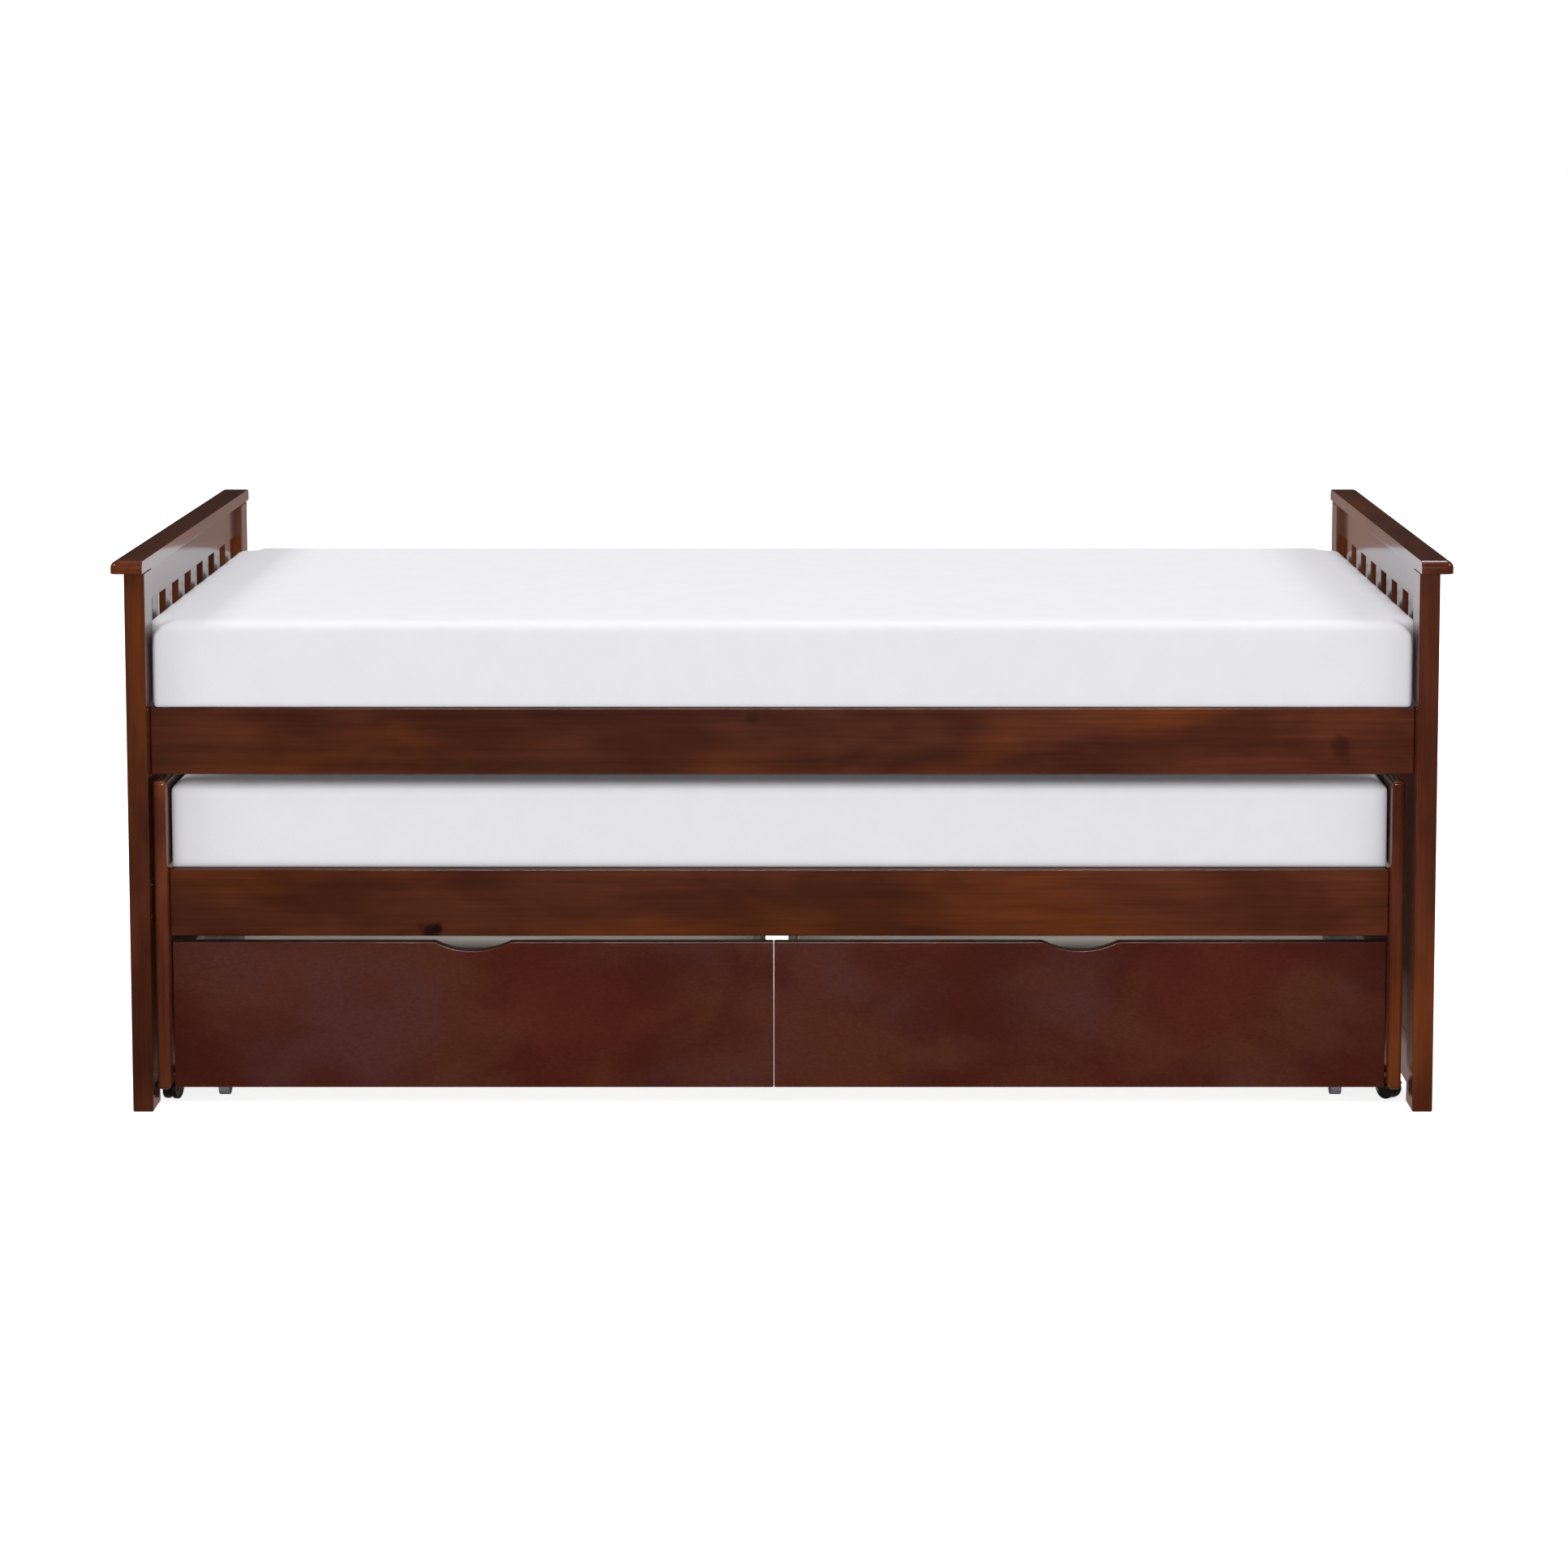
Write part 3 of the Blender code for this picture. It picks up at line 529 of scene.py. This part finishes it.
for side_name, side in SIDES:
    label = f"lower_{side_name}_end"
    low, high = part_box(label)
    end_board = ease(cuboid(f"{label}_board", low, high), END_EDGE, steps=4)
    for end_name, end in ENDS:
        y = (low.y + CASTER_INSET) if end < 0 else (high.y - CASTER_INSET)
        notch = cuboid("notch", (low.x - PAST, y - NOTCH_LENGTH / 2, low.z - PAST),
                       (high.x + PAST, y + NOTCH_LENGTH / 2, NOTCH_TOP))
        use(end_board, "BOOLEAN", object=notch, operation="DIFFERENCE", solver="EXACT")
        bpy.data.objects.remove(notch)
    # the left board takes the lighter stain, which is painted light; the right board takes the plain stain
    wood = cherry_end_painted_light if side < 0 else cherry_upright
    dress(sand(end_board), wood, "lower_bed", "cherry_lacquer", label)

# ---------------------------------------------------------------- swivel casters
# Twin-wheel furniture casters under the lower bed, moulded in black nylon: a fork with a hood
# over two dished wheels, turning on a pin in a zinc-plated plate. Each stands as it last rolled.


def moulded_nylon(name, tone, roughness):
    """Injection-moulded black nylon: near black, with the fine grain of a spark-eroded mould."""
    material, tree, shader, place = finish(name, IOR=1.53, Roughness=roughness)
    grit = 0.0006
    texture = node(tree, "TexNoise", {"Scale": 1 / grit, "Detail": 2.0}, {"Vector": place}).outputs[0]
    colour = node(tree, "Mix", {6: srgb(tone), 7: srgb("#1B1C1E")}, {0: texture}, data_type="RGBA")
    tree.links.new(colour.outputs[2], shader.inputs["Base Color"])
    relief = node(tree, "Bump", {"Strength": 0.2, "Distance": 0.0002}, {"Height": texture}).outputs[0]
    tree.links.new(relief, shader.inputs["Normal"])
    return material


def turned(name, radius, width, dishes, rounding, sides=48):
    """A wheel on the X axis at the origin: each end face is dished by (ring, depth) steps."""
    bpy.ops.object.select_all(action="DESELECT")
    bpy.ops.mesh.primitive_cylinder_add(vertices=sides, radius=radius, depth=width,
                                        rotation=(0, math.pi / 2, 0))
    wheel = added(name)
    bpy.ops.object.mode_set(mode="EDIT")
    for way in (-1, 1):
        pick(wheel, "FACE", lambda face: face.normal.x * way > 0.9 and len(face.verts) > 4)
        for ring, depth in dishes:
            bpy.ops.mesh.inset(thickness=ring)
            bpy.ops.transform.translate(value=(-way * depth, 0, 0))
    bpy.ops.object.mode_set(mode="OBJECT")
    return ease(wheel, rounding, steps=2, wanted=lambda edge: (
        edge.calc_face_angle(0) > SHARP and len(edge.link_faces) == 2))


def placed(piece, matrix):
    """Puts a piece modelled at the origin where it belongs, with its place in its mesh."""
    piece.data.transform(matrix)
    return piece


def axle_frame(joint):
    """The place of an axle: its X along the wheel's axis, its origin at the wheel's middle."""
    axis = Vector(joint["axis"])
    return Matrix.Translation(joint["pos_m"]) @ axis.to_track_quat("X", "Z").to_matrix().to_4x4()


joints = {joint["name"]: joint for joint in frame["joints"]}
nylon = moulded_nylon("black_moulded_nylon", "#0C0D0E", 0.38)
plate_zinc = zinc_plated("zinc_plated_caster_plate", "#B4B6B9", 0.30)
WHEEL_RADIUS, WHEEL_WIDTH, WEB = 0.017, 0.022, 0.0068
DISC_WIDTH = (WHEEL_WIDTH - WEB) / 2
DISC_DISHES = ((0.0028, 0.0), (0.0010, 0.0011), (0.0068, 0.0), (0.0008, -0.0009))
DISC_EDGE, AXLE_RADIUS, AXLE_SHORT = 0.0011, 0.0020, 0.001

for end_name, _ in ENDS:
    for side_name, _ in SIDES:
        corner = f"{end_name}_{side_name}"
        where = axle_frame(joints[f"wheel_{corner}"])
        discs = []
        for way in (-1, 1):
            disc = turned("disc", WHEEL_RADIUS, DISC_WIDTH, DISC_DISHES, DISC_EDGE)
            discs.append(placed(disc, Matrix.Translation((way * (WEB + DISC_WIDTH) / 2, 0, 0))))
        bpy.ops.object.select_all(action="DESELECT")
        bpy.ops.mesh.primitive_cylinder_add(vertices=20, radius=AXLE_RADIUS,
                                            depth=WHEEL_WIDTH - AXLE_SHORT,
                                            rotation=(0, math.pi / 2, 0))
        discs.append(added("axle"))
        for disc in discs:
            disc.select_set(True)
        bpy.ops.object.join()
        wheels = added(f"caster_wheels_{corner}")
        dress(sand(placed(wheels, where)), nylon, f"caster_wheel_{corner}", "black_nylon",
              f"caster_wheel_{corner}")
        carry(f"caster_head_{corner}", nylon)
        carry(f"caster_plate_{corner}", plate_zinc)

# ---------------------------------------------------------------- drawer fronts
# Plywood fronts veneered in cherry and lacquered redder than the frame, with a hand scoop cut as
# a shallow arc in the top edge and every front edge lightly rounded.


def stained_veneer(name, tones):
    """Rotary-cut veneer under red cherry stain: big soft clouds under fine pores, with purplish patches that
    are a painted reflection, the lacquer's sheen laid into the colour.
    """
    dark, red, brown, painted_sheen_tone = (srgb(tone) for tone in tones)
    material, tree, shader, place = finish(
        name, Roughness=0.25, IOR=1.45, Specular_IOR_Level=0.08,
        Coat_Weight=1.0, Coat_Roughness=0.15, Coat_IOR=1.5)
    cloud_size, patch_size, fleck_size = 0.150, 0.260, 0.0034
    slow = node(tree, "Mapping", {"Scale": along("X", 0.7)}, {"Vector": place}).outputs[0]
    moved = node(tree, "Mapping", {"Location": (4.4, 2.2, 1.1)}, {"Vector": slow}).outputs[0]
    grain = node(tree, "Mapping", {"Scale": along("X", 0.45)}, {"Vector": place}).outputs[0]
    clouds = node(tree, "TexNoise", {"Scale": 1 / cloud_size, "Detail": 4.0, "Distortion": 0.4},
                  {"Vector": slow}).outputs[0]
    clouds = node(tree, "MapRange", {"From Min": 0.38, "From Max": 0.62}, {"Value": clouds},
                  interpolation_type="SMOOTHSTEP").outputs[0]
    patches = node(tree, "TexNoise", {"Scale": 1 / patch_size, "Detail": 3.0}, {"Vector": moved}).outputs[0]
    lean_red = node(tree, "MapRange", {"From Min": 0.48, "From Max": 0.70, "To Max": 0.65},
                    {"Value": patches}, interpolation_type="SMOOTHSTEP").outputs[0]
    # purplish patches: a painted reflection, the sheen of the lacquer put into the colour at random
    painted_sheen_patches = node(tree, "MapRange", {"From Min": 0.50, "From Max": 0.34, "To Max": 0.8},
                       {"Value": patches}, interpolation_type="SMOOTHSTEP").outputs[0]
    colour = node(tree, "Mix", {6: dark, 7: brown}, {0: clouds}, data_type="RGBA").outputs[2]
    colour = node(tree, "Mix", {7: red}, {0: lean_red, 6: colour}, data_type="RGBA").outputs[2]
    colour = node(tree, "Mix", {7: painted_sheen_tone}, {0: painted_sheen_patches, 6: colour}, data_type="RGBA").outputs[2]
    flecks = node(tree, "TexNoise", {"Scale": 1 / fleck_size, "Detail": 3.0, "Roughness": 0.6},
                  {"Vector": grain}).outputs[0]
    shade = node(tree, "MapRange", {"From Min": 0.30, "From Max": 0.70, "To Min": 0.89, "To Max": 1.17},
                 {"Value": flecks}).outputs[0]
    colour = node(tree, "VectorMath", {}, {0: colour, 1: shade}, operation="MULTIPLY").outputs[0]
    tree.links.new(colour, shader.inputs["Base Color"])
    relief = node(tree, "Bump", {"Strength": 0.12, "Distance": 0.0004}, {"Height": flecks}).outputs[0]
    tree.links.new(relief, shader.inputs["Normal"])
    return material


SCOOP_WIDTH, SCOOP_DEPTH, CUTTER_LENGTH, FRONT_EDGE = 0.116, 0.014, 0.08, 0.0018
# the last tone, purplish, is a painted reflection
veneer = stained_veneer("cherry_stained_veneer", ("#42170F", "#521F13", "#4E2517", "#4B2927"))

for drawer in ("left", "right"):
    label = f"drawer_{drawer}_front"
    low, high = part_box(label)
    front = cuboid(f"{label}_veneered", low, high)
    radius = ((SCOOP_WIDTH / 2) ** 2 + SCOOP_DEPTH ** 2) / (2 * SCOOP_DEPTH)
    bpy.ops.object.select_all(action="DESELECT")
    bpy.ops.mesh.primitive_cylinder_add(
        vertices=192, radius=radius, depth=CUTTER_LENGTH, rotation=(math.pi / 2, 0, 0),
        location=((low.x + high.x) / 2, (low.y + high.y) / 2, high.z - SCOOP_DEPTH + radius))
    scoop = added("scoop")
    use(front, "BOOLEAN", object=scoop, operation="DIFFERENCE", solver="EXACT")
    bpy.data.objects.remove(scoop)
    use(front, "BEVEL", width=FRONT_EDGE, segments=3, limit_method="ANGLE", angle_limit=math.radians(40))
    dress(sand(front), veneer, f"drawer_{drawer}", "drawer_cherry", label)

# ---------------------------------------------------------------- drawer boxes
# Birch plywood sides, back and bottom under a clear, slightly milky sealer. The sides are
# screwed to the front from behind, and the bottom sits in between them.


def sealed_birch(name, grain):
    """Birch plywood, sealed: creamy and even, with faint darker streaks along the face grain."""
    material, tree, shader, place = finish(name, Roughness=0.5, IOR=1.45, Specular_IOR_Level=0.4)
    streak_width, fibre_width = 0.016, 0.0028
    drawn = node(tree, "Mapping", {"Scale": along(grain, 0.04)}, {"Vector": place}).outputs[0]
    streaks = node(tree, "TexNoise", {"Scale": 1 / streak_width, "Detail": 3.0, "Distortion": 0.4},
                   {"Vector": drawn}).outputs[0]
    fibres = node(tree, "TexNoise", {"Scale": 1 / fibre_width, "Detail": 2.0}, {"Vector": drawn}).outputs[0]
    colour = node(tree, "Mix", {6: srgb("#F1EAE0"), 7: srgb("#E6DACB")}, {0: streaks}, data_type="RGBA")
    shade = node(tree, "MapRange", {"To Min": 0.95, "To Max": 1.04}, {"Value": fibres}).outputs[0]
    colour = node(tree, "VectorMath", {}, {0: colour.outputs[2], 1: shade}, operation="MULTIPLY").outputs[0]
    tree.links.new(colour, shader.inputs["Base Color"])
    relief = node(tree, "Bump", {"Strength": 0.15, "Distance": 0.0003}, {"Height": fibres}).outputs[0]
    tree.links.new(relief, shader.inputs["Normal"])
    return material


birch_deep = sealed_birch("sealed_birch_ply_front_to_back", "Y")
birch_wide = sealed_birch("sealed_birch_ply_side_to_side", "X")
PLY_EDGE, BOTTOM_EDGE = 0.0020, 0.0008

for drawer in ("left", "right"):
    for part, birch in (("left_side", birch_deep), ("right_side", birch_deep),
                        ("back", birch_wide), ("bottom", birch_wide)):
        label = f"drawer_{drawer}_{part}"
        panel = cuboid(f"{label}_ply", *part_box(label))
        edge_radius = BOTTOM_EDGE if part == "bottom" else PLY_EDGE
        dress(sand(ease(panel, edge_radius)), birch, f"drawer_{drawer}", "drawer_plywood", label)

# ---------------------------------------------------------------- drawer casters
# Fixed casters under each drawer: a bent zinc-plated bracket and a grey thermoplastic rubber
# wheel with a moulded hub, on a riveted axle.


def moulded_rubber(name):
    """Grey thermoplastic rubber: soft matt, with a fine moulded grain and a little dust."""
    material, tree, shader, place = finish(name, Roughness=0.6, IOR=1.5, Specular_IOR_Level=0.4)
    grit, dust_size = 0.0008, 0.010
    texture = node(tree, "TexNoise", {"Scale": 1 / grit, "Detail": 2.0}, {"Vector": place}).outputs[0]
    dust = node(tree, "TexNoise", {"Scale": 1 / dust_size, "Detail": 4.0}, {"Vector": place}).outputs[0]
    colour = node(tree, "Mix", {6: srgb("#807D86"), 7: srgb("#9A979C")}, {0: dust}, data_type="RGBA")
    tree.links.new(colour.outputs[2], shader.inputs["Base Color"])
    relief = node(tree, "Bump", {"Strength": 0.25, "Distance": 0.0002}, {"Height": texture}).outputs[0]
    tree.links.new(relief, shader.inputs["Normal"])
    return material


DRAWER_WHEEL_RADIUS, DRAWER_WHEEL_WIDTH, TREAD_EDGE = 0.0195, 0.0166, 0.0015
HUB_DISHES = ((0.0040, 0.0), (0.0008, 0.0014), (0.0060, 0.0), (0.0008, -0.0012))
rubber = moulded_rubber("grey_thermoplastic_rubber")
bracket_zinc = zinc_plated("zinc_plated_pressed_bracket", "#B4B6B9", 0.32)

for drawer in ("left", "right"):
    for end_name, _ in ENDS:
        for side_name, _ in SIDES:
            corner = f"{drawer}_{end_name}_{side_name}"
            wheel = turned(f"drawer_caster_wheel_{corner}", DRAWER_WHEEL_RADIUS, DRAWER_WHEEL_WIDTH,
                           HUB_DISHES, TREAD_EDGE)
            placed(wheel, axle_frame(joints[f"wheel_drawer_{corner}"]))
            dress(sand(wheel), rubber, f"drawer_wheel_{corner}", "grey_rubber", f"drawer_wheel_{corner}")
            carry(f"drawer_bracket_{corner}", bracket_zinc)

# ---------------------------------------------------------------- studio
# A white floor that runs to the horizon. A wide soft strip of light stands behind the camera, two
# large ones to its sides, one overhead, and a faint one behind the bed.

FLOOR_SIZE = 120.0
bpy.ops.object.select_all(action="DESELECT")
bpy.ops.mesh.primitive_plane_add(size=FLOOR_SIZE, location=(0, 0, 0))
floor = bpy.context.object
floor.name = "studio_floor"
material, tree, shader, place = finish("matt_white_floor_paint", Roughness=1.0, Specular_IOR_Level=0.0)
direct = node(tree, "LightPath").outputs["Is Camera Ray"]      # white, but it bounces little light
paint = node(tree, "Mix", {6: srgb("#AFAFAF"), 7: srgb("#FBFBFB")}, {0: direct}, data_type="RGBA")
tree.links.new(paint.outputs[2], shader.inputs["Base Color"])
glow = node(tree, "Math", {1: 0.75}, {0: direct}, operation="MULTIPLY").outputs[0]
shader.inputs["Emission Color"].default_value = srgb("#FFFFFF")    # lit from below as well
tree.links.new(glow, shader.inputs["Emission Strength"])
floor.data.materials.append(material)
floor.visible_glossy = False          # lacquer mirrors the room, not the floor

# name: strength, elevation, azimuth from the front (all in degrees), and apparent width
SUNS = {"key": (1.05, 42, -66, 18), "fill": (0.95, 40, 66, 24), "overhead": (0.45, 86, 0, 16),
        "rim": (1.10, 52, 174, 22)}
for name, (strength, elevation, azimuth, width) in SUNS.items():
    light = bpy.data.lights.new(f"{name}_light", "SUN")
    light.energy = strength
    light.angle = math.radians(width)
    lamp = bpy.data.objects.new(f"{name}_light", light)
    e, a = math.radians(elevation), math.radians(azimuth)
    towards = Vector((math.sin(a) * math.cos(e), -math.cos(a) * math.cos(e), math.sin(e)))
    lamp.rotation_euler = towards.to_track_quat("Z", "Y").to_euler()
    bpy.context.scene.collection.objects.link(lamp)

light = bpy.data.lights.new("strip_light", "AREA")
light.shape, light.size, light.size_y, light.energy = "RECTANGLE", 3.0, 0.15, 240.0
lamp = bpy.data.objects.new("strip_light", light)
lamp.location = (0.0, -7.5, 1.82)
lamp.rotation_euler = (lamp.location - Vector((0, -0.5, 0.45))).to_track_quat("Z", "Y").to_euler()
lamp.visible_camera = False
bpy.context.scene.collection.objects.link(lamp)

world = bpy.data.worlds.new("studio_room")
bpy.context.scene.world = world
world.use_nodes = True
tree = world.node_tree
room = tree.nodes["Background"]       # what lacquer mirrors: a dark room, with a dim floor behind
room.inputs["Color"].default_value = srgb("#FFD9CC")
way = node(tree, "SeparateXYZ", {}, {0: node(tree, "TexCoord").outputs["Generated"]}).outputs
behind = node(tree, "MapRange", {"From Min": -0.1, "From Max": 0.6}, {"Value": way["Y"]}).outputs[0]
below = node(tree, "MapRange", {"From Min": 0.02, "From Max": -0.06, "To Max": 0.30},
             {"Value": way["Z"]}).outputs[0]
dim = node(tree, "Math", {2: 0.035}, {0: behind, 1: below}, operation="MULTIPLY_ADD").outputs[0]
tree.links.new(dim, room.inputs["Strength"])
dome = node(tree, "Background", {"Color": srgb("#FFFFFF"), "Strength": 0.30})      # soft light all round
backdrop = node(tree, "Background", {"Color": srgb("#FFFFFF"), "Strength": 1.0})
path = node(tree, "LightPath").outputs
soft = node(tree, "MixShader", {}, {0: path["Is Diffuse Ray"], 1: room.outputs[0], 2: dome.outputs[0]})
both = node(tree, "MixShader", {}, {0: path["Is Camera Ray"], 1: soft.outputs[0], 2: backdrop.outputs[0]})
tree.links.new(both.outputs[0], tree.nodes["World Output"].inputs["Surface"])

camera_data = bpy.data.cameras.new("camera")
camera_data.lens, camera_data.sensor_width = 87.97, 36.0
camera_data.shift_x, camera_data.shift_y = -0.0304, -0.199
camera_data.clip_end = 200.0
camera = bpy.data.objects.new("camera", camera_data)
camera.location = (0.0745, -6.2192, 1.5425)
camera.rotation_euler = (math.radians(90 - 5.634), 0, 0)
bpy.context.scene.collection.objects.link(camera)
bpy.context.scene.camera = camera
bpy.context.scene.view_settings.view_transform = "Standard"
